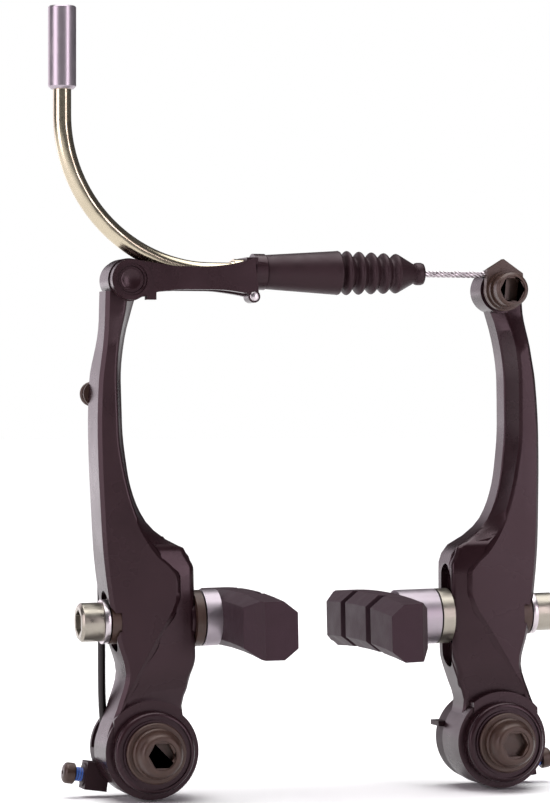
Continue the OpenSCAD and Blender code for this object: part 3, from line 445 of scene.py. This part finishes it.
def bootProfile():
    first = boot["start"] + boot["sleeve"]
    last = first + boot["rings"] * boot["pitch"]
    end = last + boot["tip"]
    outer = [(2.75, boot["start"] + 0.1), (3.5, boot["start"]), (3.66, boot["start"] + 0.12), (3.75, boot["start"] + 0.5)]
    outer += [(3.75 + 1.05 * t, boot["start"] + 0.5 + (boot["sleeve"] - 1.5) * t) for t in [k / 12 for k in range(1, 13)]]
    outer += [(boot["ring"], first - 0.75), (boot["ring"] - 0.1, first - 0.5)]
    steps = 14
    for i in range(boot["rings"] + 1):
        top = boot["ring"] - 0.12 * i
        for k in range(steps if i < boot["rings"] else steps // 2):
            # rounded ridge and a tighter valley
            s = k / steps
            ridge = 0.5 - 0.5 * cos(2 * pi * s)
            outer.append((boot["valley"] + (top - boot["valley"]) * ridge ** 0.8, first + (i + s) * boot["pitch"]))
    top = boot["ring"] - 0.12 * boot["rings"]
    outer += [(top, last + 1.43), (top - 0.12, last + 1.75)]
    outer += [(2.2, end - 2.4), (2.12, end - 2.1), (2.4, end - 1.85), (2.48, end - 1.5), (2.48, end - 0.6), (2.3, end - 0.12), (2.0, end)]
    outer += [(0.92, end), (0.92, end - 2.4), (top - 1.0, last + 1.2), (boot["valley"] - boot["wall"], last)]
    outer += [(boot["valley"] - boot["wall"], first), (3.0, boot["start"] + 7), (2.65, boot["start"] + 6), (2.65, boot["start"] + 0.3),
              (2.75, boot["start"] + 0.1)]
    return outer


mesh = turned("bellowsBoot", bootProfile(), (0, boot["axisY"], boot["axisZ"]), steps=112)
place("bellowsBoot", mesh, bootRubber, bodyOf["cable_boot"], ["cable_boot"], smooth=50)
print("boot made")


# twisted cable, by geometry nodes

def strandTree():
    tree = bpy.data.node_groups.new("twistedStrands", "GeometryNodeTree")
    face = tree.interface
    face.new_socket("Geometry", in_out="INPUT", socket_type="NodeSocketGeometry")
    for label, kind, value in (("Strands", "NodeSocketInt", 6), ("Strand radius", "NodeSocketFloat", 0.00027),
                               ("Lay radius", "NodeSocketFloat", 0.00048), ("Turn per metre", "NodeSocketFloat", 900.0)):
        face.new_socket(label, in_out="INPUT", socket_type=kind).default_value = value
    face.new_socket("Finish", in_out="INPUT", socket_type="NodeSocketMaterial")
    face.new_socket("Geometry", in_out="OUTPUT", socket_type="NodeSocketGeometry")
    given = addNode(tree, "NodeGroupInput").outputs
    line = addNode(tree, "GeometryNodeMeshToCurve", {"Mesh": given["Geometry"]})
    fine = addNode(tree, "GeometryNodeResampleCurve", {"Curve": line.outputs[0], "Length": 0.0003}, mode="LENGTH")
    length = addNode(tree, "GeometryNodeSplineParameter").outputs["Length"]
    turn = addNode(tree, "ShaderNodeMath", {0: length, 1: given["Turn per metre"]}, operation="MULTIPLY")
    tilted = addNode(tree, "GeometryNodeSetCurveTilt", {"Curve": fine.outputs[0], "Tilt": turn.outputs[0]})
    ring = addNode(tree, "GeometryNodeMeshCircle", {"Vertices": given["Strands"], "Radius": given["Lay radius"]})
    wire = addNode(tree, "GeometryNodeCurvePrimitiveCircle", {"Resolution": 8, "Radius": given["Strand radius"]})
    bundle = addNode(tree, "GeometryNodeInstanceOnPoints", {"Points": ring.outputs[0], "Instance": wire.outputs[0]})
    real = addNode(tree, "GeometryNodeRealizeInstances", {"Geometry": bundle.outputs[0]})
    tube = addNode(tree, "GeometryNodeCurveToMesh", {"Curve": tilted.outputs[0], "Profile Curve": real.outputs[0], "Fill Caps": True})
    solid = addNode(tree, "GeometryNodeRealizeInstances", {"Geometry": tube.outputs[0]})
    done = addNode(tree, "GeometryNodeSetMaterial", {"Geometry": solid.outputs[0], "Material": given["Finish"]})
    addNode(tree, "NodeGroupOutput", {"Geometry": done.outputs[0]})
    return tree


def grown(name, path, tree, values):
    # runs a node tree on a path in mm and returns the plain mesh
    mesh = bpy.data.meshes.new(name + "Path")
    mesh.from_pydata([tuple(Vector(p) * mm) for p in path], [(i, i + 1) for i in range(len(path) - 1)], [])
    holder = bpy.data.objects.new(name + "Path", mesh)
    bpy.context.scene.collection.objects.link(holder)
    modifier = holder.modifiers.new("grow", "NODES")
    modifier.node_group = tree
    ids = {s.name: s.identifier for s in tree.interface.items_tree if s.in_out == "INPUT"}
    for key, value in values.items():
        modifier[ids[key]] = value
    ready = holder.evaluated_get(bpy.context.evaluated_depsgraph_get())
    result = bpy.data.meshes.new_from_object(ready)
    bpy.data.objects.remove(holder)
    return result


pipe = {"y": -2.5, "z": 103.345, "bendX": -26.12, "bend": 33.1, "end": 45.5, "top": 149.3, "inner": -13.0}
strands = strandTree()
straight = grown("cableRun", [(pipe["inner"] + k * (pipe["end"] - pipe["inner"]) / 20, pipe["y"], pipe["z"]) for k in range(21)],
                 strands, {"Strands": 6, "Finish": brightSteel})
core = swept("cableCore", [(pipe["inner"], pipe["y"], pipe["z"]), (pipe["end"], pipe["y"], pipe["z"])], 0.5, 12)
place("innerCable", joined("innerCable", [straight, core]), brightSteel, "cable", ["inner_cable"])
upX, upZ = pipe["bendX"] - pipe["bend"], pipe["z"] + pipe["bend"]
hidden = [(upX, pipe["y"], pipe["top"]), (upX, pipe["y"], upZ + 4)]
hidden += [(pipe["bendX"] - pipe["bend"] * cos(radians(a)), pipe["y"], upZ - pipe["bend"] * sin(radians(a))) for a in range(0, 91, 5)]
hidden += [(x, pipe["y"], pipe["z"]) for x in (-22, -18, -14)]
place("cableInPipe", swept("cableInPipe", hidden, 0.7, 12), brightSteel, "guide_pipe")
print("cable made")


# tension screws, thread by geometry nodes

def threadTree():
    tree = bpy.data.node_groups.new("screwThread", "GeometryNodeTree")
    face = tree.interface
    face.new_socket("Geometry", in_out="INPUT", socket_type="NodeSocketGeometry")
    for label, kind, value in (("Radius", "NodeSocketFloat", 0.0013), ("Length", "NodeSocketFloat", 0.005),
                               ("Turns", "NodeSocketFloat", 10.0), ("Depth", "NodeSocketFloat", 0.00028)):
        face.new_socket(label, in_out="INPUT", socket_type=kind).default_value = value
    face.new_socket("Finish", in_out="INPUT", socket_type="NodeSocketMaterial")
    face.new_socket("Geometry", in_out="OUTPUT", socket_type="NodeSocketGeometry")
    given = addNode(tree, "NodeGroupInput").outputs
    coil = addNode(tree, "GeometryNodeCurveSpiral", {"Resolution": 24, "Rotations": given["Turns"], "Start Radius": given["Radius"],
                                                     "End Radius": given["Radius"], "Height": given["Length"]})
    ridge = addNode(tree, "GeometryNodeCurvePrimitiveCircle", {"Resolution": 4, "Radius": given["Depth"]})
    tube = addNode(tree, "GeometryNodeCurveToMesh", {"Curve": coil.outputs[0], "Profile Curve": ridge.outputs[0], "Fill Caps": True})
    solid = addNode(tree, "GeometryNodeRealizeInstances", {"Geometry": tube.outputs[0]})
    done = addNode(tree, "GeometryNodeSetMaterial", {"Geometry": solid.outputs[0], "Material": given["Finish"]})
    addNode(tree, "NodeGroupOutput", {"Geometry": done.outputs[0]})
    return tree


screw = {"root": (-8.6, 8.1, -6.3), "tilt": 8, "shank": 1.5, "head": 5.5, "patch": (3.75, 5.4)}
threads = threadTree()
for side, word in ((-1, "left"), (1, "right")):
    root = Vector((side * (40 - screw["root"][0]), screw["root"][1], screw["root"][2]))
    axis = Vector((side * cos(radians(screw["tilt"])), 0, sin(radians(screw["tilt"]))))
    turn = Vector((0, 0, 1)).rotation_difference(axis).to_matrix().to_4x4()
    ridge = grown(word + "Thread", [(0, 0, 0), (0, 0, 1)], threads,
                  {"Radius": (screw["shank"] - 0.2) * mm, "Length": 4.6 * mm, "Turns": 9.0, "Finish": blackOxide})
    ridge.transform(Matrix.Translation((root + axis * 0.6) * mm) @ turn)
    body = turned(word + "Shank", [(0, 0.4), (1.05, 0.4), (1.28, 0.7), (1.28, screw["head"]), (2.0, screw["head"]), (2.3, screw["head"] + 0.25),
                                   (2.3, screw["head"] + 1.7), (2.15, screw["head"] + 2.1), (1.7, screw["head"] + 2.45), (1.2, screw["head"] + 2.6),
                                   (0.5, screw["head"] + 2.6), (0.35, screw["head"] + 1.5), (0, screw["head"] + 1.5)], root, axis, 48)
    place(word + "TensionScrewTurned", joined(word + "TensionScrew", [ridge, body]), blackOxide, word + "_tension_screw", [word + "_tension_screw"])
    lock = turned(word + "ThreadLock", [(1.3, screw["patch"][0]), (1.5, screw["patch"][0] + 0.1), (1.52, screw["patch"][1] - 0.15),
                                        (1.3, screw["patch"][1]), (1.3, screw["patch"][0])], root, axis, 40)
    place(word + "ThreadLock", lock, threadLock, word + "_tension_screw")
print("tension screws made")

# rivet head on the bump under the link's nose
rivet = {"centre": (-18.02, -8.0, 97.81), "profile": [(0, 0.2), (1.0, 0.2), (1.0, -0.1), (0.85, -0.3), (0.5, -0.42), (0, -0.45)]}
place("noseRivet", turned("noseRivet", rivet["profile"], rivet["centre"], (0, 1, 0), 40), brightSteel, "link")
print("rivet made")
